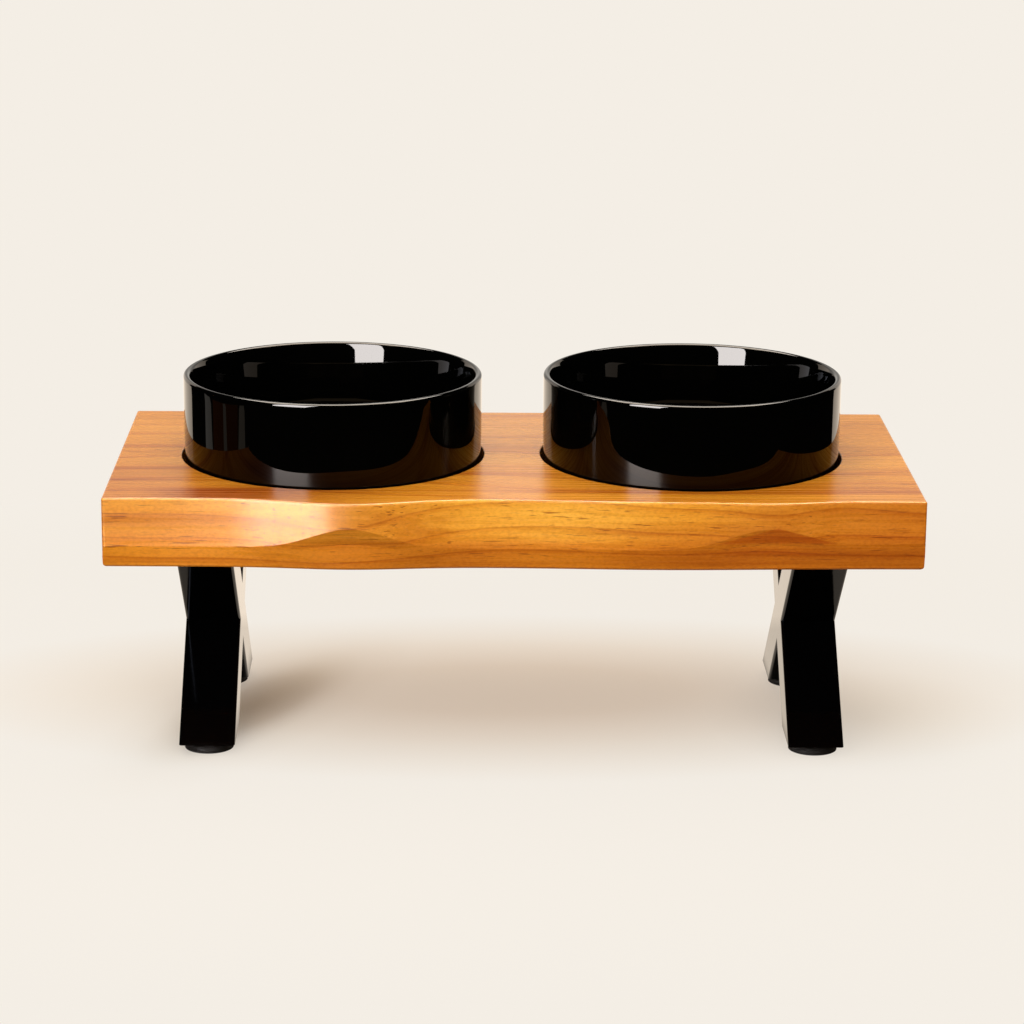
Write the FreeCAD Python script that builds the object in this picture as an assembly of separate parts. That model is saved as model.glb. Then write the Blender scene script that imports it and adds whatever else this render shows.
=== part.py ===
import FreeCAD, Part
import math
import os

# Raised double bowl stand, in millimetres.
# +Z is up, +X is to the right, -Y is the side that faces a person in front of it.
# The origin is on the floor, under the middle of the whole stand.

os.makedirs("parts", exist_ok=True)

V = FreeCAD.Vector
UP = V(0, 0, 1)
ALONG = V(1, 0, 0)
TURN = 360
QUARTER = 90
NUT_SIDES = 6

# Slab
slab_length = 430.0
slab_depth = 199.6
slab_thickness = 37.6
slab_corner_radius = 1.5
slab_top_round = 1.2
slab_bottom_round = 2.0
slab_front_chamfer = 1.0

# Carved front face: how far its waves stand out from the straight front line.
wave_height = 12.0

# Each wave: its place and spread along the length, its rise at the top edge and at the bottom
# edge in shares of the wave height.
wave_shares = (
    (0.00, 0.060, 0.08, 0.00),
    (0.30, 0.092, 0.97, 0.43),
    (0.69, 0.150, 0.41, 0.27),
    (0.82, 0.060, 0.36, 0.00),
    (1.00, 0.090, 0.14, 0.00),
)
top_rest_share = 0.03
bottom_rest_share = -0.10

# The crease across the front face lies this deep, in shares of the thickness, and rises in hills.
# Each hill: its place and spread along the length, and its rise.
crease_rest_share = 0.69
crease_shares = (
    (0.30, 0.066, 0.335),
    (0.81, 0.066, 0.315),
    (1.00, 0.120, 0.090),
)

# Under the crease a facet leans in, down to a second line.
# Its depth and its lean are given on the level stretches and under the top of a hill.
facet_level_share = 0.735
facet_hill_share = 0.62
lean_level_share = 0.85
lean_hill_share = 0.25
tallest_hill = max(rise for place, spread, rise in crease_shares)
carve_steps = 34

# Pockets and bowls
bowl_radius = 81.3
bowl_height = 66.4
bowl_floor = 5.0
bowl_outer_corner = 6.0
bowl_inner_corner = 12.0
foot_ring_height = 1.5
foot_ring_width = 13.0

# The outside of a bowl is upright down to a height, then draws in along a wide arc.
# The height and the arc's radius are in shares of the bowl's height.
bowl_upright_share = 0.557
side_curve_share = 4.58

# The rim, from its outer round inwards: radius of each round, and the angle where it ends, from
# outwards towards up. The last round is the inside of the wall, whose radius is a share of the
# bowl's height.
rim_round = 1.7
rim_inner_round = 2.0
rim_inner_angle = 155.0
flare_round = 12.0
flare_angle = 169.5
inside_curve_share = 2.886

bowl_distance = 196.3
bowl_set_back = 1.1
bowl_clearance = 1.4
pocket_floor = 15.0
pocket_edge_round = 0.8
seat_ring_thickness = 1.5
seat_ring_margin = 1.5

# Legs
leg_height = 105.8
leg_spread = 120.4
leg_inset = 51.0
leg_set_back = 2.1
tube_width = 30.0
tube_depth = 25.2
tube_wall = 1.5
tube_corner = 1.5
weld_gap = 0.05
mounting_plate_width = 60.0
mounting_plate_thickness = 3.0
mounting_plate_corner = 6.0
mounting_screw_inset = 23.0

# Wood screws
screw_radius = 2.0
screw_length = 14.0
screw_tip = 3.5
screw_head_radius = 3.8
screw_head_height = 2.6
screw_hole_clearance = 0.3
pilot_clearance = 0.05
pilot_extra = 1.0
recess_width = 1.1
recess_span = 4.2
recess_depth = 1.6

# Feet
foot_height = 6.6
foot_radius = 13.2
foot_rim_height = 1.5
foot_top_radius = 8.0
foot_dome = 0.6
foot_plate_thickness = 3.0
nut_flats = 10.0
nut_height = 5.0
stem_radius = 3.0
stem_past_nut = 2.5
stem_tip_chamfer = 0.6
stem_head_radius = 6.0
stem_head_height = 2.0
stem_head_lift = 2.2
running_clearance = 0.05

# Every cutting solid runs this far past the piece that it cuts.
overrun = 10.0

# Heights above the floor
leg_bottom = foot_height
slab_bottom = leg_bottom + leg_height
slab_top = slab_bottom + slab_thickness
plate_bottom = slab_bottom - mounting_plate_thickness
pocket_bottom = slab_bottom + pocket_floor
bowl_bottom = pocket_bottom + seat_ring_thickness

# The bowls' soles
side_curve = bowl_height * side_curve_share
bowl_lean = math.degrees(math.asin((bowl_height * bowl_upright_share - bowl_outer_corner)
                                   / (side_curve - bowl_outer_corner)))
sole_radius = (bowl_radius - side_curve
               + (side_curve - bowl_outer_corner) * math.cos(math.radians(bowl_lean)))

# Places across the depth: the waves' crests and the back edge are equally far from the origin.
slab_back = (slab_depth + wave_height) / 2
slab_front = slab_back - slab_depth
slab_middle = (slab_back + slab_front) / 2
bowl_y = slab_middle + bowl_set_back
leg_y = slab_middle + leg_set_back

# The legs stand this far apart, equally far from the ends of the slab.
leg_distance = slab_length - 2 * leg_inset

# The arms of an X leg lean at this angle from upright, which widens their level sections.
arm_angle = math.degrees(math.atan2(leg_spread, leg_height))
arm_section = tube_depth / math.cos(math.radians(arm_angle))
mounting_plate_length = leg_spread + arm_section

pocket_radius = bowl_radius + bowl_clearance
stem_bore = stem_radius + running_clearance

sides = {"left": -1, "right": 1}
ends = {"front": -1, "back": 1}


def save(shape, node):
    """Write one piece under its node's name."""
    if not shape.isValid():
        raise RuntimeError("invalid shape: " + node)
    shape.exportStep("parts/" + node + ".step")
    print(node, len(shape.Solids), round(shape.Volume))


def cylinder(radius, x, y, low, high):
    """An upright cylinder between two heights."""
    return Part.makeCylinder(radius, high - low, V(x, y, low))


def block(low, high):
    """A box between two corners."""
    return Part.makeBox(high.x - low.x, high.y - low.y, high.z - low.z, low)


def outline(points):
    """A closed wire of straight lines through a list of points."""
    return Part.makePolygon(list(points) + [points[0]])


def revolve(edges, x, y):
    """A solid turned from a profile in the XZ plane, which touches the axis or closes on itself."""
    face = Part.Face(Part.Wire(edges))
    solid = face.revolve(V(0, 0, 0), UP, TURN)
    solid.translate(V(x, y, 0))
    return solid


def line(start, end):
    return Part.LineSegment(V(start[0], 0, start[1]), V(end[0], 0, end[1])).toShape()


def corner_arc(centre, radius, from_angle, to_angle):
    """An arc in the XZ plane, from one angle to another, in degrees from +X towards +Z."""
    points = []
    for angle in (from_angle, (from_angle + to_angle) / 2, to_angle):
        turn = math.radians(angle)
        points.append(V(centre[0] + radius * math.cos(turn), 0, centre[1] + radius * math.sin(turn)))
    return Part.Arc(*points).toShape()


def rounded_rectangle(width, depth, radius):
    """A face in the XY plane, centred on the origin, with rounded corners."""
    corners = []
    for k, (right, back) in enumerate(((1, 1), (-1, 1), (-1, -1), (1, -1))):
        centre = V(right * (width / 2 - radius), back * (depth / 2 - radius), 0)
        turns = [math.radians(QUARTER * (k + part / 2)) for part in range(3)]
        corners.append([centre + V(math.cos(t), math.sin(t), 0) * radius for t in turns])
    edges = []
    for k, corner in enumerate(corners):
        edges.append(Part.Arc(*corner).toShape())
        edges.append(Part.LineSegment(corner[-1], corners[(k + 1) % len(corners)][0]).toShape())
    return Part.Face(Part.Wire(edges))


# The slab and its carved front face

def wave(place, column, rest):
    """How far the front face stands out at a place along the length, as a share."""
    return rest + sum(row[column] * math.exp(-((place - row[0]) / row[1]) ** 2) for row in wave_shares)


def hill(place):
    """How far the crease rises at a place along the length, as a share of the thickness."""
    return sum(rise * math.exp(-((place - centre) / spread) ** 2) for centre, spread, rise in crease_shares)


def blend(level, crest, amount):
    return level + (crest - level) * amount


def carve_section(place):
    """Section of the solid that is carved away, square to the length, at one place along it."""
    x = slab_length * place - slab_length / 2
    top_out = wave_height * wave(place, 2, top_rest_share)
    bottom_out = wave_height * wave(place, 3, bottom_rest_share)
    rise = min(hill(place) / tallest_hill, 1)
    crease_depth = slab_thickness * (crease_rest_share - hill(place))
    facet_depth = slab_thickness * blend(facet_level_share, facet_hill_share, rise)
    facet_out = blend(bottom_out, top_out, blend(lean_level_share, lean_hill_share, rise))
    slope = (top_out - facet_out) / (facet_depth - crease_depth)
    far_out = wave_height + 2 * overrun
    above_crease = overrun - crease_depth
    points = (
        (top_out + overrun * slope, above_crease),
        (facet_out, -facet_depth),
        (bottom_out, slab_front_chamfer - slab_thickness),
        (bottom_out - slab_front_chamfer - overrun, -slab_thickness - overrun),
        (far_out, -slab_thickness - overrun),
        (far_out, above_crease),
    )
    return outline([V(x, slab_front - out, slab_top + height) for out, height in points])


def make_slab():
    places = [k / carve_steps for k in range(-1, carve_steps + 2)]
    front = [V(slab_length * p - slab_length / 2,
               slab_front - wave_height * wave(p, 2, top_rest_share), slab_bottom) for p in places[1:-1]]
    spline = Part.BSplineCurve()
    spline.interpolate(front)
    back_left = V(-slab_length / 2, slab_back, slab_bottom)
    back_right = V(slab_length / 2, slab_back, slab_bottom)
    edges = [
        spline.toShape(),
        Part.LineSegment(front[-1], back_right).toShape(),
        Part.LineSegment(back_right, back_left).toShape(),
        Part.LineSegment(back_left, front[0]).toShape(),
    ]
    board = Part.Face(Part.Wire(edges)).extrude(V(0, 0, slab_thickness))
    uprights = [e for e in board.Edges if e.BoundBox.ZLength > slab_thickness / 2]
    board = board.makeFillet(slab_corner_radius, uprights)
    rim = [e for e in board.Edges if e.BoundBox.ZMin > slab_top - slab_top_round]
    board = board.makeFillet(slab_top_round, rim)
    sole = [e for e in board.Edges if e.BoundBox.ZMax < slab_bottom + slab_bottom_round]
    board = board.makeFillet(slab_bottom_round, sole)

    carved = Part.makeLoft([carve_section(p) for p in places], True, False)
    board = board.cut(carved)

    for side in sides.values():
        board = board.cut(pocket_tool(side * bowl_distance / 2))
        for x, y in screw_places(side):
            depth = screw_length - mounting_plate_thickness + pilot_extra
            board = board.cut(cylinder(screw_radius + pilot_clearance, x, y,
                                       slab_bottom - overrun, slab_bottom + depth))
    return board


def pocket_tool(x):
    """The round pocket, with a softened edge at the top."""
    wide = pocket_radius + pocket_edge_round
    edges = [
        line((0, pocket_bottom), (pocket_radius, pocket_bottom)),
        line((pocket_radius, pocket_bottom), (pocket_radius, slab_top - pocket_edge_round)),
        corner_arc((wide, slab_top - pocket_edge_round), pocket_edge_round, 2 * QUARTER, QUARTER),
        line((wide, slab_top), (wide, slab_top + overrun)),
        line((wide, slab_top + overrun), (0, slab_top + overrun)),
        line((0, slab_top + overrun), (0, pocket_bottom)),
    ]
    return revolve(edges, x, bowl_y)


# Bowls and the rings that they sit on

def next_arc(point, radius, from_angle, to_angle):
    """The arc that begins at a point, and the point where it ends."""
    turn = math.radians(from_angle)
    centre = (point[0] - radius * math.cos(turn), point[1] - radius * math.sin(turn))
    turn = math.radians(to_angle)
    end = (centre[0] + radius * math.cos(turn), centre[1] + radius * math.sin(turn))
    return corner_arc(centre, radius, from_angle, to_angle), end


def make_bowl(x):
    low = bowl_bottom
    top = low + bowl_height
    upright_from = low + bowl_height * bowl_upright_share
    inside = low + foot_ring_height + bowl_floor
    hollow = sole_radius - foot_ring_width
    under = low + foot_ring_height
    lip = (bowl_radius - rim_round, top)
    inner_lip, lip_end = next_arc(lip, rim_inner_round, QUARTER, rim_inner_angle)
    flare, flare_end = next_arc(lip_end, flare_round, rim_inner_angle, flare_angle)
    wall, wall_end = next_arc(flare_end, bowl_height * inside_curve_share, flare_angle, 2 * QUARTER)
    inner = wall_end[0]
    edges = [
        line((0, under), (hollow - foot_ring_height, under)),
        line((hollow - foot_ring_height, under), (hollow, low)),
        line((hollow, low), (sole_radius, low)),
        corner_arc((sole_radius, low + bowl_outer_corner), bowl_outer_corner, -QUARTER, -bowl_lean),
        corner_arc((bowl_radius - side_curve, upright_from), side_curve, -bowl_lean, 0),
        line((bowl_radius, upright_from), (bowl_radius, top - rim_round)),
        corner_arc((bowl_radius - rim_round, top - rim_round), rim_round, 0, QUARTER),
        inner_lip,
        flare,
        wall,
        line(wall_end, (inner, inside + bowl_inner_corner)),
        corner_arc((inner - bowl_inner_corner, inside + bowl_inner_corner), bowl_inner_corner, 0, -QUARTER),
        line((inner - bowl_inner_corner, inside), (0, inside)),
        line((0, inside), (0, under)),
    ]
    return revolve(edges, x, bowl_y)


def make_seat_ring(x):
    outer = sole_radius - seat_ring_margin
    inner = sole_radius - foot_ring_width + seat_ring_margin
    ring = cylinder(outer, x, bowl_y, pocket_bottom, bowl_bottom)
    return ring.cut(cylinder(inner, x, bowl_y, pocket_bottom - overrun, bowl_bottom + overrun))


# Legs

def arm(x, lean, inset):
    """A long leaning prism of the tube's outline, drawn in by an inset. It leans back where lean is 1."""
    reach = leg_spread + leg_height
    section = rounded_rectangle(tube_width - 2 * inset, tube_depth - 2 * inset,
                                max(tube_corner - inset, tube_corner / 2))
    prism = section.extrude(V(0, 0, reach))
    prism.translate(V(0, 0, -reach / 2))
    prism.rotate(V(0, 0, 0), ALONG, -lean * arm_angle)
    prism.translate(V(x, leg_y, leg_bottom + leg_height / 2))
    return prism


def between(low, high):
    """Everything between two heights."""
    reach = slab_length + slab_depth
    return block(V(-reach, -reach, low), V(reach, reach, high))


def make_leg(side):
    """The three tubes of one X leg: a whole one, and two short ones that meet its faces."""
    x = side * leg_distance / 2
    tubes = between(leg_bottom, plate_bottom)
    main_solid = arm(x, 1, 0)
    main = main_solid.cut(arm(x, 1, tube_wall)).common(tubes)
    halves = arm(x, -1, 0).cut(arm(x, -1, tube_wall)).common(tubes).cut(main_solid)
    lower, upper = sorted(halves.Solids, key=lambda solid: solid.CenterOfMass.z)
    return main.Solids[0], upper, lower


def screw_places(side):
    """The four screws of one mounting plate, midway between the tube's sides and the plate's edges."""
    x = side * leg_distance / 2
    across = (tube_width + mounting_plate_width) / 4
    along = mounting_plate_length / 2 - mounting_screw_inset
    return [(x + a * across, leg_y + b * along) for a in (-1, 1) for b in (-1, 1)]


def make_mounting_plate(side):
    face = rounded_rectangle(mounting_plate_width, mounting_plate_length, mounting_plate_corner)
    plate = face.extrude(V(0, 0, mounting_plate_thickness))
    plate.translate(V(side * leg_distance / 2, leg_y, plate_bottom))
    for x, y in screw_places(side):
        plate = plate.cut(cylinder(screw_radius + screw_hole_clearance, x, y,
                                   plate_bottom - overrun, slab_bottom + overrun))
    return plate


def make_screw(x, y):
    """A pan-head wood screw, head down, with a cross recess."""
    seat = plate_bottom
    face = seat - screw_head_height
    tip = seat + screw_length
    edges = [
        line((0, face), (screw_head_radius - screw_head_height, face)),
        corner_arc((screw_head_radius - screw_head_height, seat), screw_head_height, -QUARTER, 0),
        line((screw_head_radius, seat), (screw_radius, seat)),
        line((screw_radius, seat), (screw_radius, tip - screw_tip)),
        line((screw_radius, tip - screw_tip), (0, tip)),
        line((0, tip), (0, face)),
    ]
    screw = revolve(edges, x, y)
    for wide, deep in ((recess_span, recess_width), (recess_width, recess_span)):
        low = V(x - wide / 2, y - deep / 2, face - overrun)
        screw = screw.cut(block(low, V(x + wide / 2, y + deep / 2, face + recess_depth)))
    return screw


# Feet

def foot_place(side, end):
    return side * leg_distance / 2, leg_y + end * leg_spread / 2


def make_foot_plate(side, end):
    """The plate that closes the lower end of an arm, inside its walls."""
    x, y = foot_place(side, end)
    inside = arm(side * leg_distance / 2, -end, tube_wall + weld_gap)
    plate = inside.common(between(leg_bottom, leg_bottom + foot_plate_thickness))
    return plate.cut(cylinder(stem_bore, x, y, leg_bottom - overrun, leg_bottom + overrun))


def make_nut(side, end):
    x, y = foot_place(side, end)
    low = leg_bottom + foot_plate_thickness
    corner = nut_flats / 2 / math.cos(math.pi / NUT_SIDES)
    turns = [math.tau / NUT_SIDES * k for k in range(NUT_SIDES)]
    points = [V(x + corner * math.cos(t), y + corner * math.sin(t), low) for t in turns]
    nut = Part.Face(outline(points)).extrude(V(0, 0, nut_height))
    return nut.cut(cylinder(stem_bore, x, y, low - overrun, low + nut_height + overrun))


def make_stem(side, end):
    """A threaded stem, drawn as a plain rod, with the disc head that the pad holds."""
    x, y = foot_place(side, end)
    tip = leg_bottom + foot_plate_thickness + nut_height + stem_past_nut
    neck = stem_head_lift + stem_head_height
    edges = [
        line((0, stem_head_lift), (stem_head_radius, stem_head_lift)),
        line((stem_head_radius, stem_head_lift), (stem_head_radius, neck)),
        line((stem_head_radius, neck), (stem_radius, neck)),
        line((stem_radius, neck), (stem_radius, tip - stem_tip_chamfer)),
        line((stem_radius, tip - stem_tip_chamfer), (stem_radius - stem_tip_chamfer, tip)),
        line((stem_radius - stem_tip_chamfer, tip), (0, tip)),
        line((0, tip), (0, stem_head_lift)),
    ]
    return revolve(edges, x, y)


def make_pad(side, end):
    """A low cone on a thin rim, moulded round the stem's head."""
    x, y = foot_place(side, end)
    low = stem_head_lift - running_clearance
    high = stem_head_lift + stem_head_height + running_clearance
    head = stem_head_radius + running_clearance
    middle_radius = (foot_radius + foot_top_radius) / 2 + foot_dome
    middle_height = (foot_rim_height + foot_height) / 2 + foot_dome
    cone = Part.Arc(V(foot_radius, 0, foot_rim_height), V(middle_radius, 0, middle_height),
                    V(foot_top_radius, 0, foot_height)).toShape()
    edges = [
        line((0, 0), (foot_radius, 0)),
        line((foot_radius, 0), (foot_radius, foot_rim_height)),
        cone,
        line((foot_top_radius, foot_height), (stem_bore, foot_height)),
        line((stem_bore, foot_height), (stem_bore, high)),
        line((stem_bore, high), (head, high)),
        line((head, high), (head, low)),
        line((head, low), (0, low)),
        line((0, low), (0, 0)),
    ]
    return revolve(edges, x, y)


save(make_slab(), "wood_slab")

for side_name, side in sides.items():
    save(make_bowl(side * bowl_distance / 2), side_name + "_bowl")
    save(make_seat_ring(side * bowl_distance / 2), side_name + "_seat_ring")
    main_tube, upper_tube, lower_tube = make_leg(side)
    save(main_tube, side_name + "_leg_main_tube")
    save(upper_tube, side_name + "_leg_upper_tube")
    save(lower_tube, side_name + "_leg_lower_tube")
    save(make_mounting_plate(side), side_name + "_mounting_plate")
    save(Part.makeCompound([make_screw(x, y) for x, y in screw_places(side)]), side_name + "_leg_screws")
    for end_name, end in ends.items():
        foot = side_name + "_" + end_name
        save(make_foot_plate(side, end), foot + "_foot_plate")
        save(make_nut(side, end), foot + "_foot_nut")
        save(make_stem(side, end), foot + "_foot_stem")
        save(make_pad(side, end), foot + "_foot_pad")
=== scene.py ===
"""The looks, floor, light and camera of a raised double pet bowl stand, in metres."""

import math

import bpy
from mathutils import Matrix, Vector


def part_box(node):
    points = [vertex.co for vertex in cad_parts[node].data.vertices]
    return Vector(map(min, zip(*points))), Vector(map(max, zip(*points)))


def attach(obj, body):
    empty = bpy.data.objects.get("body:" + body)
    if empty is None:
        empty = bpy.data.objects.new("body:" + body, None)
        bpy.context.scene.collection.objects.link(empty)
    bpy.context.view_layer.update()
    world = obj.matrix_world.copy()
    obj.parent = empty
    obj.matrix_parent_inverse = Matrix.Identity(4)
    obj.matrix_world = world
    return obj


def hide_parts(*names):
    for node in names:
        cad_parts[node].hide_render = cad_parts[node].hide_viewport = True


SIDES = {"left": -1, "right": 1}
ENDS = ("front", "back")

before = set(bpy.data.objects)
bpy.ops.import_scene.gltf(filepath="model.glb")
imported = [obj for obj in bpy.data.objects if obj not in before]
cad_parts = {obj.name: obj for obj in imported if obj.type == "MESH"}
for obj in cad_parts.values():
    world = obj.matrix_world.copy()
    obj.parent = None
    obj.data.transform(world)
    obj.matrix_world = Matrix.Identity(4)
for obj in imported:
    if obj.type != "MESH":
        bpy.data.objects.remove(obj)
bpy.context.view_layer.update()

# Places and sizes of the bowls and of the slab, in metres, from the solids.
bowl_low, bowl_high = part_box("right_bowl")
BOWL_RADIUS = (bowl_high.x - bowl_low.x) / 2
BOWL_X = (bowl_low.x + bowl_high.x) / 2
BOWL_Y = (bowl_low.y + bowl_high.y) / 2
BOWL_BOTTOM, BOWL_TOP = bowl_low.z, bowl_high.z
slab_low, slab_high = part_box("wood_slab")
SLAB_BOTTOM, SLAB_THICK = slab_low.z, slab_high.z - slab_low.z
SLAB_MIDDLE = (slab_low.z + slab_high.z) / 2


# Materials

def rgba(colour):
    """A colour with its alpha. A single number is a grey."""
    if isinstance(colour, (int, float)):
        colour = (colour,) * 3
    return (*colour, 1)


def scaled(colour, factor):
    return tuple(factor * c for c in colour)


class Nodes:
    """The nodes of a material or a world."""

    def __init__(self, owner):
        owner.use_nodes = True
        self.nodes = owner.node_tree.nodes
        self.link = owner.node_tree.links.new

    def feed(self, value, socket):
        """A socket takes another node's output, a number or a colour."""
        if isinstance(value, bpy.types.NodeSocket):
            self.link(value, socket)
        elif socket.type == "RGBA":
            socket.default_value = rgba(value)
        else:
            socket.default_value = value

    def feed_named(self, node, sockets):
        for name, value in sockets.items():
            self.feed(value, node.inputs[name])

    def add(self, kind, **values):
        """A node with its settings, and its sockets where a name is one of them."""
        node = self.nodes.new(kind)
        for name, value in values.items():
            if name in node.inputs:
                self.feed(value, node.inputs[name])
            else:
                setattr(node, name, value)
        return node

    def of(self, kind, *values, **settings):
        """The first output of a node whose first sockets take the values."""
        node = self.add(kind, **settings)
        for socket, value in zip(node.inputs, values):
            self.feed(value, socket)
        return node.outputs[0]

    def maths(self, operation, *values):
        return self.of("ShaderNodeMath", *values, operation=operation)

    def length(self, a, b):
        """The square root of a * a + b * b."""
        squares = self.maths("MULTIPLY", a, a), self.maths("MULTIPLY", b, b)
        return self.maths("SQRT", self.maths("ADD", *squares))

    def mix(self, amount, a, b, blend="MIX"):
        node = self.add("ShaderNodeMix", data_type="RGBA", blend_type=blend)
        for k, value in ((0, amount), (6, a), (7, b)):
            self.feed(value, node.inputs[k])
        return node.outputs[2]

    def multiply(self, a, b, amount=1.0):
        return self.mix(amount, a, b, "MULTIPLY")

    def ramp(self, source, *stops):
        """A colour that follows a value. Each stop is a place and a colour or a grey."""
        node = self.add("ShaderNodeValToRGB")
        elements = node.color_ramp.elements
        while len(elements) > 1:
            elements.remove(elements[-1])
        elements[0].position, elements[0].color = stops[0][0], rgba(stops[0][1])
        for place, colour in stops[1:]:
            elements.new(place).color = rgba(colour)
        self.feed(source, node.inputs[0])
        return node.outputs[0]

    def place(self):
        """A point's place in the piece, in metres."""
        return self.add("ShaderNodeTexCoord").outputs["Object"]

    def axes(self, vector):
        return tuple(self.add("ShaderNodeSeparateXYZ", Vector=vector).outputs)

    def noise(self, scale, detail, roughness=0.5, shift=0.0):
        """Noise with so many waves per metre along each axis."""
        mapping = self.add("ShaderNodeMapping", Vector=self.place(), Scale=scale,
                           Location=(shift,) * 3)
        return self.add("ShaderNodeTexNoise", Vector=mapping.outputs[0], Scale=1.0,
                        Detail=detail, Roughness=roughness)


def new_material(name):
    material = bpy.data.materials.new(name)
    n = Nodes(material)
    return material, n, n.nodes["Principled BSDF"]


RING_AXIS_Y, RING_AXIS_Z = 0.075, -0.03
RINGS_PER_METRE = 105.0
RING_BEND = 0.045


def growth_rings(n):
    """Growth rings about an axis along the board, below it, bent by slow waves along the length."""
    waves = n.noise((2.6, 9.0, 9.0), 2.0, 0.4).outputs["Color"]
    bent = n.of("ShaderNodeVectorMath", waves, (0.0, RING_BEND, RING_BEND), n.place(),
                operation="MULTIPLY_ADD")
    _, y, z = n.axes(bent)
    radius = n.length(n.maths("SUBTRACT", y, RING_AXIS_Y), n.maths("SUBTRACT", z, RING_AXIS_Z))
    return n.ramp(
        n.maths("FRACT", n.maths("MULTIPLY", radius, RINGS_PER_METRE)),
        (0.0, (0.71, 0.238, 0.014)),
        (0.45, (0.73, 0.252, 0.016)),
        (0.78, (0.68, 0.220, 0.012)),
        (0.90, (0.64, 0.190, 0.009)),
        (0.95, (0.53, 0.140, 0.006)),
        (1.0, (0.71, 0.238, 0.014)))


def pores(n):
    """Short dark dashes along the fibres, in some places only."""
    dashes = n.ramp(n.noise((70.0, 1100.0, 1100.0), 1.0).outputs["Fac"], (0.28, 0.0), (0.36, 1.0))
    sparse = n.ramp(n.noise((9.0, 60.0, 60.0), 2.0, 0.5, 7.7).outputs["Fac"],
                    (0.42, 1.0), (0.53, 0.0))
    return n.ramp(n.mix(1.0, dashes, sparse, "LIGHTEN"), (0.0, (0.50, 0.36, 0.25)), (1.0, 1.0))


def side_tones_and_sheen(n, x, share, broad):
    """The sides are palest at the middle, where the upper layer carries a painted sheen, and
    darkest at the right end, in two uneven layers.
    """
    drift = n.maths("MULTIPLY_ADD", broad, 0.2, -0.1)
    drift = n.maths("ADD", n.maths("MULTIPLY_ADD", x, 2.0, drift), 0.5)
    # The upper layer's pale, bluish middle is a painted sheen.
    upper = n.ramp(drift, (0.40, 1.0), (0.47, (1.20, 1.38, 1.6)), (0.55, (1.28, 1.58, 2.2)),
                   (0.68, (1.14, 1.20, 1.1)), (0.76, (0.95, 0.86, 0.9)), (0.90, (0.84, 0.66, 0.5)))
    lower = n.ramp(drift, (0.22, (1.12, 1.18, 1.1)), (0.36, (0.96, 0.93, 0.9)),
                   (0.46, (0.90, 0.82, 0.8)), (0.60, (1.14, 1.16, 1.1)),
                   (0.74, (0.93, 0.84, 0.75)), (0.90, (0.82, 0.68, 0.5)))
    return n.mix(n.ramp(share, (0.35, 0.0), (0.50, 1.0)), lower, upper)


def top_tones(n, x, y, streaks):
    """The top is browner at its front left, with a brown streak along the edge there."""
    corner = n.maths("ADD", n.maths("ADD", n.maths("MULTIPLY", y, 1.2), x), 0.5)
    top = n.ramp(corner, (0.19, (0.74, 0.62, 0.56)), (0.24, (0.80, 0.71, 0.67)),
                 (0.30, (0.93, 0.91, 0.9)), (0.36, 1.0))
    along = n.maths("MULTIPLY_ADD", streaks, 0.12, 0.80)
    brown = (0.60, 0.38, 0.24)
    streak = n.ramp(n.maths("MULTIPLY_ADD", y, 5.0, along),
                    (0.36, 1.0), (0.42, brown), (0.47, brown), (0.54, 1.0))
    elsewhere = n.ramp(n.maths("ADD", x, 0.5), (0.30, 1.0), (0.335, 0.0), (0.36, 0.0), (0.44, 1.0))
    return n.multiply(top, n.mix(elsewhere, streak, 1.0))


HOLLOW_X = 0.137


def hollow_painted_shade(n, x, y, share):
    """The carved hollow at the right, low on the front, is darkened brown with painted shade."""
    aside = n.maths("ABSOLUTE", n.maths("SUBTRACT", x, HOLLOW_X))
    hollow = n.maths("MULTIPLY_ADD", y, 3.0, -0.67)
    hollow = n.maths("MULTIPLY_ADD", share, 2.25, hollow)
    hollow = n.maths("MULTIPLY_ADD", aside, 17.5, hollow)
    # The brown here is painted shade on the down-facing hollow.
    brown = n.ramp(hollow, (0.46, (0.86, 0.62, 0.40)), (0.51, 1.0))
    return n.mix(n.ramp(share, (0.38, 0.0), (0.42, 1.0)), 1.0, brown)


def pocket_painted_shade(n, x, y, share):
    """The pockets' walls and floors are darkened with painted shade."""
    reach = n.length(n.maths("SUBTRACT", n.maths("ABSOLUTE", x), BOWL_X),
                     n.maths("SUBTRACT", y, BOWL_Y))
    # A bowl's edge is at 0.9 of the ramp, and the pocket's edge a little further out.
    pocket_shade = n.ramp(n.maths("MULTIPLY", reach, 0.9 / BOWL_RADIUS),
                   (0.916, (0.16, 0.10, 0.08)), (0.921, 1.0))
    return n.mix(n.ramp(share, (0.25, 0.0), (0.30, 1.0)), 1.0, pocket_shade)


def eased_edge(n, x, z):
    """The front's upper edge is eased back by hand, most of all towards the left."""
    slope = n.ramp(n.maths("MULTIPLY_ADD", x, 2.0, 0.5),
                   (0.06, 0.04), (0.16, 0.14), (0.32, 0.14), (0.42, 0.05))
    height = n.maths("MULTIPLY", n.maths("SUBTRACT", SLAB_MIDDLE, z), slope)
    return n.add("ShaderNodeBump", Strength=1.0, Distance=1.0, Height=height).outputs[0]


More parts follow.
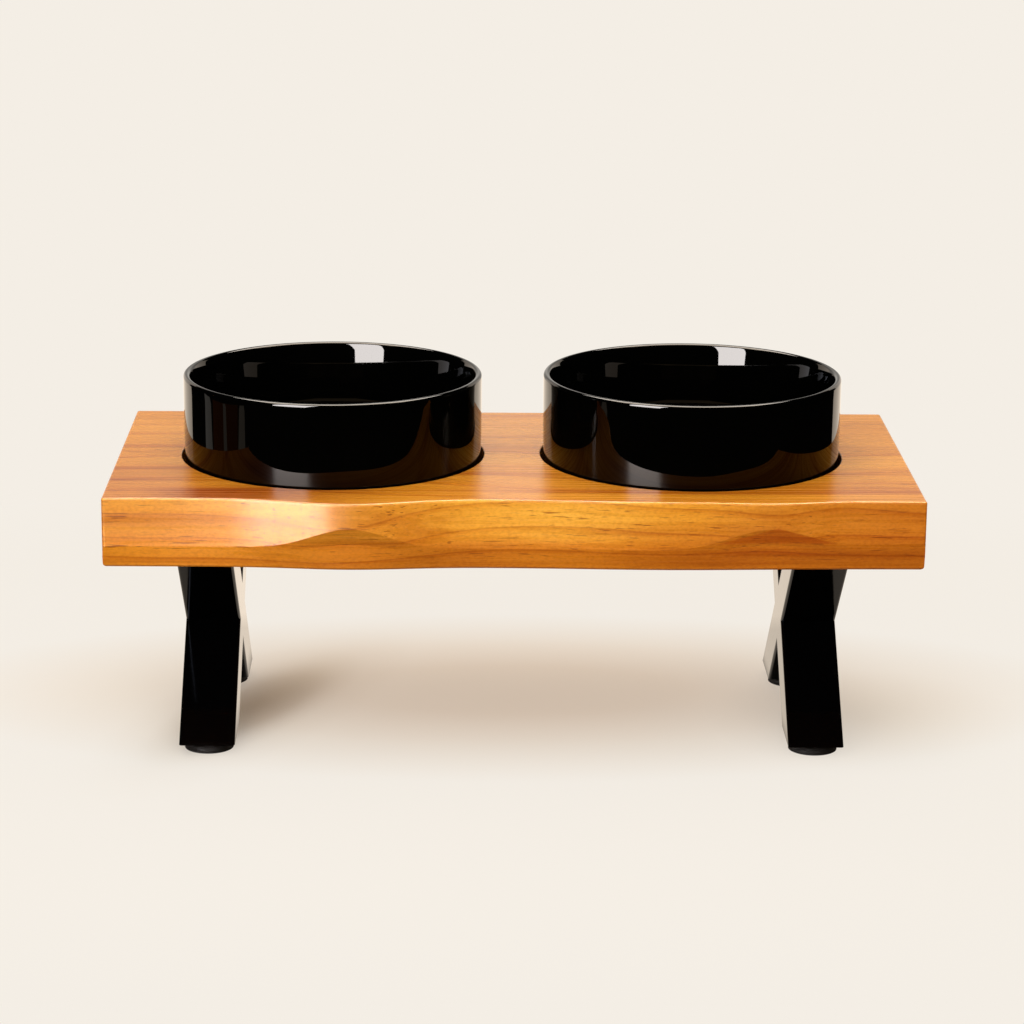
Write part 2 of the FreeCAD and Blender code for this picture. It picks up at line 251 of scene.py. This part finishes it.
def wood_material():
    material, n, shader = new_material("oiled_wood")
    x, y, z = n.axes(n.place())
    # The share of the slab's thickness that lies below a point.
    share = n.maths("MULTIPLY_ADD", z, 1 / SLAB_THICK, -SLAB_BOTTOM / SLAB_THICK)

    # Broad tone along the board, brown streaks, fibres and grain, each from dark to pale.
    broad = n.noise((1.4, 16.0, 16.0), 2.0).outputs["Fac"]
    streaks = n.noise((2.4, 75.0, 75.0), 3.0, 0.5, 3.1).outputs["Fac"]
    fibres = n.noise((7.0, 420.0, 420.0), 5.0, 0.62).outputs["Fac"]
    grain = n.noise((500.0, 900.0, 900.0), 1.0).outputs["Fac"]
    colour = growth_rings(n)
    for source, amount, dark, even, pale in (
            (broad, 1.0, (0.32, (0.88, 0.82, 0.72)), 0.5, (0.68, (1.06, 1.10, 1.25))),
            (streaks, 1.0, (0.30, (0.80, 0.66, 0.50)), 0.44, (0.7, (1.03, 1.05, 1.1))),
            (fibres, 0.7, (0.28, (0.78, 0.68, 0.55)), 0.5, (0.72, (1.07, 1.11, 1.2))),
            (grain, 0.6, (0.3, (0.84, 0.76, 0.66)), 0.5, (0.7, (1.10, 1.16, 1.3)))):
        colour = n.multiply(colour, n.ramp(source, dark, (even, 1.0), pale), amount)
    colour = n.multiply(colour, pores(n))

    # Painted shade darkens and browns the board towards its underside, and painted sheen makes it
    # paler and yellower higher up.
    colour = n.multiply(colour, n.ramp(
        share, (0.0, (0.84, 0.72, 0.50)), (0.35, (0.92, 0.84, 0.66)), (0.60, (1.02, 1.08, 1.2)),
        (0.96, (1.04, 1.14, 1.3)), (0.99, (1.04, 1.10, 0.95))))
    on_top = n.ramp(share, (0.985, 0.0), (0.998, 1.0))
    tones = n.mix(on_top, side_tones_and_sheen(n, x, share, broad), top_tones(n, x, y, streaks))
    for tone in (tones, hollow_painted_shade(n, x, y, share), pocket_painted_shade(n, x, y, share)):
        colour = n.multiply(colour, tone)

    normal = n.add("ShaderNodeBump", Strength=0.04, Distance=0.0004, Height=fibres,
                   Normal=eased_edge(n, x, z)).outputs[0]
    n.feed_named(shader, {
        "Base Color": colour,
        "Normal": normal,
        "Roughness": n.ramp(fibres, (0.3, 0.24), (0.7, 0.31)),
        "IOR": 1.33,
        "Specular Tint": (0.98, 0.95, 0.74)})
    return material


def uneven(name, dark, pale, gloss, grain, level, sockets):
    """A finish with a faint unevenness of tone and gloss, and of level where it isn't 0."""
    material, n, shader = new_material(name)
    noise = n.add("ShaderNodeTexNoise", Vector=n.place(), Scale=grain, Detail=3.0).outputs["Fac"]
    n.feed_named(shader, {
        "Base Color": n.ramp(noise, (0.3, dark), (0.7, pale)),
        "Roughness": n.ramp(noise, (0.3, gloss[0]), (0.7, gloss[1]))})
    if level:
        bump = n.add("ShaderNodeBump", Strength=0.5, Distance=level, Height=noise)
        n.link(bump.outputs[0], shader.inputs["Normal"])
    n.feed_named(shader, sockets)
    return material


def coat(name, colour, gloss, grain, level, ior, tint=1.0):
    """A dark finish whose tone varies by a fifth either way."""
    return uneven(name, scaled(colour, 0.8), scaled(colour, 1.2), gloss, grain, level,
                  {"IOR": ior, "Specular Tint": tint})


def metal(name, colour, gloss):
    """Bare metal with a fine grain."""
    return uneven(name, scaled(colour, 0.85), colour, gloss, 900.0, 0.0, {"Metallic": 1.0})


WOOD = wood_material()
GLAZE = coat("black_glaze", (0.0005, 0.0005, 0.0004), (0.015, 0.03), 22.0, 0.0, 1.3,
             (1.0, 0.84, 0.64))
PAINT = coat("black_paint", (0.0007, 0.0006, 0.0006), (0.05, 0.09), 700.0, 0.00001, 1.2)
PLASTIC = coat("foot_plastic", (0.010, 0.008, 0.006), (0.55, 0.65), 1600.0, 0.00003, 1.2,
               (1.0, 0.86, 0.7))
RUBBER = coat("seat_rubber", (0.012, 0.012, 0.012), (0.6, 0.75), 1200.0, 0.00005, 1.5)
STEEL = metal("screw_steel", (0.55, 0.54, 0.52), (0.24, 0.40))
ZINC = metal("zinc_steel", (0.60, 0.61, 0.62), (0.30, 0.46))


def dress(node, material):
    """A solid that is shown as it is, with its finish."""
    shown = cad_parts[node]
    shown.data.materials.clear()
    shown.data.materials.append(material)


# Bowls

# Sizes of the outline, in metres, and the large curves' radii as shares of the bowl's height.
BASE_CORNER = 0.006
RIM_RADIUS = 0.0017
LIP_RADIUS, THROAT_RADIUS = 0.002, 0.012
RING_WIDTH, RING_HEIGHT, RING_EASE = 0.013, 0.0015, 0.0004
FLOOR_THICK = 0.0065
INSIDE_CORNER = 0.012
WALL_FOOT = 0.002
FLOOR_MIDDLE = 0.03
SIDE_CURVE_SHARE, INSIDE_CURVE_SHARE = 4.58, 2.886
STRAIGHT_FROM_SHARE = 0.557
BOWL_FACETS = 240


def arc(centre, radius, start, end, steps):
    """Points on an arc, from one angle to another, in degrees from outward towards up."""
    points = []
    for k in range(steps + 1):
        turn = math.radians(start + (end - start) * k / steps)
        points.append((centre[0] + radius * math.cos(turn), centre[1] + radius * math.sin(turn)))
    return points


def next_arc(point, radius, start, end, steps):
    """The arc that begins at a point."""
    turn = math.radians(start)
    centre = (point[0] - radius * math.cos(turn), point[1] - radius * math.sin(turn))
    return arc(centre, radius, start, end, steps)[1:]


def bowl_outline():
    """From the middle of the underside, over the rim, to the middle of the floor inside."""
    low, top, wide = BOWL_BOTTOM, BOWL_TOP, BOWL_RADIUS
    tall = top - low
    side_curve, straight_from = SIDE_CURVE_SHARE * tall, STRAIGHT_FROM_SHARE * tall
    lean = math.degrees(math.asin((straight_from - BASE_CORNER) / (side_curve - BASE_CORNER)))
    side = arc((wide - side_curve, low + straight_from), side_curve, -lean, 0, 24)
    corner_x = side[0][0] - BASE_CORNER * math.cos(math.radians(lean))
    under, ring_inner = low + RING_HEIGHT, corner_x - RING_WIDTH
    points = [(0.0, under), (ring_inner - RING_HEIGHT, under), (ring_inner, low),
              (ring_inner + RING_EASE, low), (corner_x - RING_EASE, low)]
    points += arc((corner_x, low + BASE_CORNER), BASE_CORNER, -90, -lean, 12)
    points += side[1:]
    straight = tall - RIM_RADIUS - straight_from
    points += [(wide, low + straight_from + straight * k / 6) for k in range(1, 6)]
    points += arc((wide - RIM_RADIUS, top - RIM_RADIUS), RIM_RADIUS, 0, 90, 14)
    for radius, start, end, steps in (
            (LIP_RADIUS, 90, 155, 14),
            (THROAT_RADIUS, 155, 169.5, 10),
            (INSIDE_CURVE_SHARE * tall, 169.5, 180, 16)):
        points += next_arc(points[-1], radius, start, end, steps)
    inside, floor = points[-1][0], low + FLOOR_THICK
    points.append((inside, floor + INSIDE_CORNER + WALL_FOOT))
    points += arc((inside - INSIDE_CORNER, floor + INSIDE_CORNER), INSIDE_CORNER, 0, -90, 16)
    return points + [(FLOOR_MIDDLE, floor), (0.0, floor)]


def lathe(name, outline, x, y, steps):
    """An outline of radii and heights, turned about an upright axis."""
    vertices, faces, rows = [], [], []
    for radius, height in outline:
        if radius == 0.0:
            rows.append([len(vertices)])
            vertices.append((x, y, height))
            continue
        rows.append(list(range(len(vertices), len(vertices) + steps)))
        for k in range(steps):
            turn = math.tau * k / steps
            vertices.append((x + radius * math.cos(turn), y + radius * math.sin(turn), height))
    for low, high in zip(rows, rows[1:]):
        for k in range(steps):
            ahead = (k + 1) % steps
            if len(low) == 1:
                faces.append((low[0], high[ahead], high[k]))
            elif len(high) == 1:
                faces.append((low[k], low[ahead], high[0]))
            else:
                faces.append((low[k], low[ahead], high[ahead], high[k]))
    mesh = bpy.data.meshes.new(name)
    mesh.from_pydata(vertices, [], faces)
    mesh.polygons.foreach_set("use_smooth", [True] * len(mesh.polygons))
    mesh.update()
    piece = bpy.data.objects.new(name, mesh)
    bpy.context.scene.collection.objects.link(piece)
    return piece


for side, sign in SIDES.items():
    bowl = lathe(side + "_bowl_glazed", bowl_outline(), sign * BOWL_X, BOWL_Y, BOWL_FACETS)
    bowl.data.materials.append(GLAZE)
    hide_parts(side + "_bowl")
    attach(bowl, side + "_bowl")

dress("wood_slab", WOOD)
for side in SIDES:
    dress(side + "_seat_ring", RUBBER)
    dress(side + "_leg_screws", STEEL)
    for piece in ("leg_main_tube", "leg_upper_tube", "leg_lower_tube", "mounting_plate"):
        dress(side + "_" + piece, PAINT)
    for end in ENDS:
        foot = side + "_" + end + "_foot_"
        dress(foot + "plate", PAINT)
        dress(foot + "nut", ZINC)
        dress(foot + "stem", ZINC)
        dress(foot + "pad", PLASTIC)


# Floor, backdrop and panels

CREAM = (0.905, 0.855, 0.784)


def sheet(name, corners, material):
    """A flat face that belongs to the studio and not to the object."""
    mesh = bpy.data.meshes.new(name)
    mesh.from_pydata(corners, [], [tuple(range(len(corners)))])
    mesh.materials.append(material)
    piece = bpy.data.objects.new(name, mesh)
    bpy.context.scene.collection.objects.link(piece)
    return piece


def reflected_only(piece):
    """Makes a panel show in gloss and nowhere else."""
    piece.visible_camera = False
    piece.visible_diffuse = False
    piece.visible_shadow = False
    piece.visible_transmission = False


def glowing(name, colour, strength):
    material = bpy.data.materials.new(name)
    n = Nodes(material)
    n.nodes.clear()
    glow = n.of("ShaderNodeEmission", colour, strength)
    n.link(glow, n.add("ShaderNodeOutputMaterial").inputs[0])
    return material


def floor_material():
    """Paper that keeps the object's shadow near it and is an even cream further away.

    Bounced light finds it darker than the camera does, and gloss finds it dark in front.
    """
    material, n, shader = new_material("cream_paper")
    rays = n.add("ShaderNodeLightPath").outputs
    x, y, _ = n.axes(n.place())

    def distance(centre_x, centre_y, lean, in_front, behind):
        """How far a point is from a centre, sideways from a leaning line and along it.

        The way along counts by the share in_front or behind, of which behind is the larger.
        """
        sideways = n.maths("MULTIPLY_ADD", y, -lean, lean * centre_y - centre_x)
        ways = [n.maths("MULTIPLY_ADD", y, part, -centre_y * part) for part in (in_front, behind)]
        return n.length(n.maths("ADD", sideways, x), n.maths("MAXIMUM", *ways))

    away = distance(0.0, 0.05, 0.0, 2.15, 2.3)
    # The paper is warmer near the object: a painted warm tint for its shadow.
    paper = n.ramp(away, (0.20, (0.82, 0.64, 0.45)), (0.34, (0.82, 0.76, 0.66)))
    paper = n.mix(rays["Is Diffuse Ray"], paper, (0.16, 0.14, 0.12))
    paper = n.mix(rays["Is Glossy Ray"], paper, (0.20, 0.18, 0.16))
    n.feed_named(shader, {"Base Color": paper, "Roughness": 0.9, "Specular IOR Level": 0.0})

    # How much even cream the camera sees: less near the object, and least by its legs, where the
    # masks by_left and by_right paint the legs' shadow deeper.
    evenness = n.ramp(away, (0.04, 0.54), (0.09, 0.56), (0.18, 0.67), (0.35, 0.93), (0.70, 0.93),
                      (1.0, 1.0))
    by_left = n.ramp(distance(-0.1415, 0.023, 0.42, 0.34, 0.40), (0.0, 0.08), (0.01, 0.16),
                     (0.02, 0.32), (0.03, 0.66), (0.04, 0.88), (0.06, 1.0))
    by_right = n.ramp(distance(0.20, 0.0, 0.0, 0.9, 1.0), (0.0, 0.68), (0.03, 0.76), (0.09, 1.0))
    seen = n.maths("MULTIPLY", n.maths("MULTIPLY", evenness, by_left), by_right)
    seen = n.maths("MULTIPLY", seen, rays["Is Camera Ray"])

    # How much of it gloss sees: all behind the object, less between its legs and beside them.
    behind = n.ramp(y, (0.06, 0.0), (0.20, 1.0))
    strips = n.ramp(n.maths("ABSOLUTE", x), (0.145, 0.78), (0.150, 0.0), (0.178, 0.0), (0.184, 0.4))
    from_front = n.ramp(n.maths("ADD", y, 0.08), (0.0, 0.0), (0.02, 1.0))
    mirrored = n.maths("MAXIMUM", behind, n.maths("MULTIPLY", strips, from_front))
    mirrored = n.maths("MULTIPLY", mirrored, rays["Is Glossy Ray"])

    # The even cream is warmer near the object: a painted warm tint for its shadow.
    shadow_warmth = n.ramp(away, (0.10, (0.85, 0.72, 0.60)), (0.22, (0.89, 0.81, 0.715)), (0.34, CREAM))
    tone = n.mix(rays["Is Glossy Ray"], shadow_warmth, (1.40, 1.20, 0.98))
    glow = n.of("ShaderNodeEmission", tone, 1.0)
    both = n.of("ShaderNodeMixShader", n.maths("MAXIMUM", seen, mirrored), shader.outputs[0], glow)
    n.link(both, n.nodes["Material Output"].inputs[0])
    return material


def backdrop_material():
    """A backdrop that is bright behind the middle of the board and at its own ends."""
    material = glowing("cream_glow", CREAM, 1.0)
    n = Nodes(material)
    dim = scaled(CREAM, 0.75)
    colours = n.ramp(n.maths("ABSOLUTE", n.axes(n.place())[0]), (0.08, scaled(CREAM, 1.25)),
                     (0.26, dim), (0.45, dim), (0.60, (1.36, 1.20, 1.04)))
    n.link(colours, n.nodes["Emission"].inputs["Color"])
    return material


# The near floor is narrow in front, so that little of it shows in the gloss.
FRONT_X, FRONT_Y = 0.30, -0.40
MIDDLE_X, MIDDLE_Y = 0.62, 0.45
BACK_X, BACK_Y, BACKDROP_TOP = 1.30, 1.25, 0.9
FAR_FLOOR, FAR_DROP = 12, 0.0003

PAPER = floor_material()
sheet("floor", [(-FRONT_X, FRONT_Y, 0), (FRONT_X, FRONT_Y, 0), (MIDDLE_X, MIDDLE_Y, 0),
                (BACK_X, BACK_Y, 0), (-BACK_X, BACK_Y, 0), (-MIDDLE_X, MIDDLE_Y, 0)], PAPER)
far = sheet("floor_far", [(x * FAR_FLOOR, y * FAR_FLOOR, -FAR_DROP)
                          for x, y in ((-1, -1), (1, -1), (1, 1), (-1, 1))], PAPER)
far.visible_glossy = False
backdrop = sheet("backdrop", [(-BACK_X, BACK_Y, 0), (BACK_X, BACK_Y, 0),
                              (BACK_X, BACK_Y, BACKDROP_TOP), (-BACK_X, BACK_Y, BACKDROP_TOP)],
                 backdrop_material())

# A tall softbox at the front left, between the middles of its lower and upper edge.
SOFTBOX_LOW = Vector((-0.60, -0.89, 0.12))
SOFTBOX_HIGH = Vector((-0.42, -0.62, 1.15))
SOFTBOX_HALF = Vector((0.69, -0.655, 0)).normalized() * 0.225
softbox = sheet("softbox", [SOFTBOX_LOW - SOFTBOX_HALF, SOFTBOX_LOW + SOFTBOX_HALF,
                            SOFTBOX_HIGH + SOFTBOX_HALF, SOFTBOX_HIGH - SOFTBOX_HALF],
                glowing("softbox_glow", (0.94, 1.05, 1.33), 45.0))

TOP_X, TOP_FRONT, TOP_BACK, TOP_Z = 0.9, -0.2, 1.1, 1.6
top_panel = sheet("top_panel", [(-TOP_X, TOP_FRONT, TOP_Z), (TOP_X, TOP_FRONT, TOP_Z),
                                (TOP_X, TOP_BACK, TOP_Z), (-TOP_X, TOP_BACK, TOP_Z)],
                  glowing("top_glow", (1.0, 0.98, 0.96), 20.0))
for panel in (backdrop, softbox, top_panel):
    reflected_only(panel)

# Dim stands to the left, which show as upright streaks in the glaze.
# Each: its front and back edge at its foot and at its top, and its colour.
STANDS = (
    (0.17, 0.40, 0.27, 0.42, (0.55, 0.54, 0.52)),
    (-0.30, 0.18, -0.33, 0.20, (0.13, 0.035, 0.005)),
    (-0.14, -0.05, -0.08, -0.03, (0.36, 0.34, 0.32)),
    (-0.47, -0.28, -0.44, -0.36, (0.50, 0.49, 0.47)),
)
STAND_X, STAND_STEP = -1.2, 0.01
STAND_LOW, STAND_HIGH = -0.16, -0.03
for k, (front, back, top_front, top_back, colour) in enumerate(STANDS):
    x = STAND_X + STAND_STEP * k
    reflected_only(sheet(
        "stand_%d" % k, [(x, front, STAND_LOW), (x, back, STAND_LOW),
                         (x, top_back, STAND_HIGH), (x, top_front, STAND_HIGH)],
        glowing("stand_glow_%d" % k, colour, 1.0)))


# Lamps, world and camera

def lamp(name, place, target, wide, deep, watts):
    """A soft lamp that lights the object without showing in its gloss."""
    data = bpy.data.lights.new(name, "AREA")
    data.shape = "RECTANGLE"
    data.size = wide
    data.size_y = deep
    data.energy = watts
    light = bpy.data.objects.new(name, data)
    light.location = place
    light.rotation_euler = (Vector(target) - Vector(place)).to_track_quat("-Z", "Y").to_euler()
    light.visible_glossy = False
    light.visible_camera = False
    bpy.context.scene.collection.objects.link(light)


lamp("key", (SOFTBOX_LOW + SOFTBOX_HIGH) / 2, (0, 0, 0.1), 0.55, 1.05, 4.0)
lamp("overhead", (0.0, 0.3, 1.9), (0, 0, 0), 2.2, 2.2, 26.0)
lamp("fill", (0.2, -1.75, 0.85), (0, 0, 0.1), 1.4, 1.2, 19.0)


def make_world():
    """Cream to the camera, soft light to the surfaces and nearly dark in their gloss."""
    world = bpy.data.worlds.new("studio")
    bpy.context.scene.world = world
    n = Nodes(world)
    n.nodes.clear()
    rays = n.add("ShaderNodeLightPath").outputs
    seen = n.of("ShaderNodeBackground", CREAM, 1.0)
    dim = n.of("ShaderNodeBackground", (1.0, 0.96, 0.9), 0.004)
    soft = n.of("ShaderNodeBackground", (1.0, 0.94, 0.86), 0.34)
    unseen = n.of("ShaderNodeMixShader", rays["Is Diffuse Ray"], dim, soft)
    both = n.of("ShaderNodeMixShader", rays["Is Camera Ray"], unseen, seen)
    n.link(both, n.add("ShaderNodeOutputWorld").inputs[0])


# The camera's place, its angles in degrees, and its focal length in pixels of the photograph.
CAMERA_PLACE = (-0.0304, -1.7503, 0.5825)
PITCH, YAW, ROLL = 14.85, 1.00, 0.51
SENSOR_WIDTH = 36.0
FOCAL_PIXELS, IMAGE_WIDTH = 3291.3, 1024


def make_camera():
    """A camera where the photograph was taken from."""
    pitch, yaw, roll = (math.radians(a) for a in (PITCH, YAW, ROLL))
    ahead = Vector((math.sin(yaw) * math.cos(pitch), math.cos(yaw) * math.cos(pitch),
                    -math.sin(pitch)))
    level = ahead.cross(Vector((0, 0, 1))).normalized()
    upright = level.cross(ahead)
    right = level * math.cos(roll) + upright * math.sin(roll)
    up = -level * math.sin(roll) + upright * math.cos(roll)
    data = bpy.data.cameras.new("camera")
    data.sensor_width = SENSOR_WIDTH
    data.lens = SENSOR_WIDTH * FOCAL_PIXELS / IMAGE_WIDTH
    camera = bpy.data.objects.new("camera", data)
    turn = Matrix((right, up, -ahead)).transposed().to_4x4()
    camera.matrix_world = Matrix.Translation(CAMERA_PLACE) @ turn
    bpy.context.scene.collection.objects.link(camera)
    bpy.context.scene.camera = camera


make_world()
make_camera()
bpy.context.scene.view_settings.view_transform = "Standard"
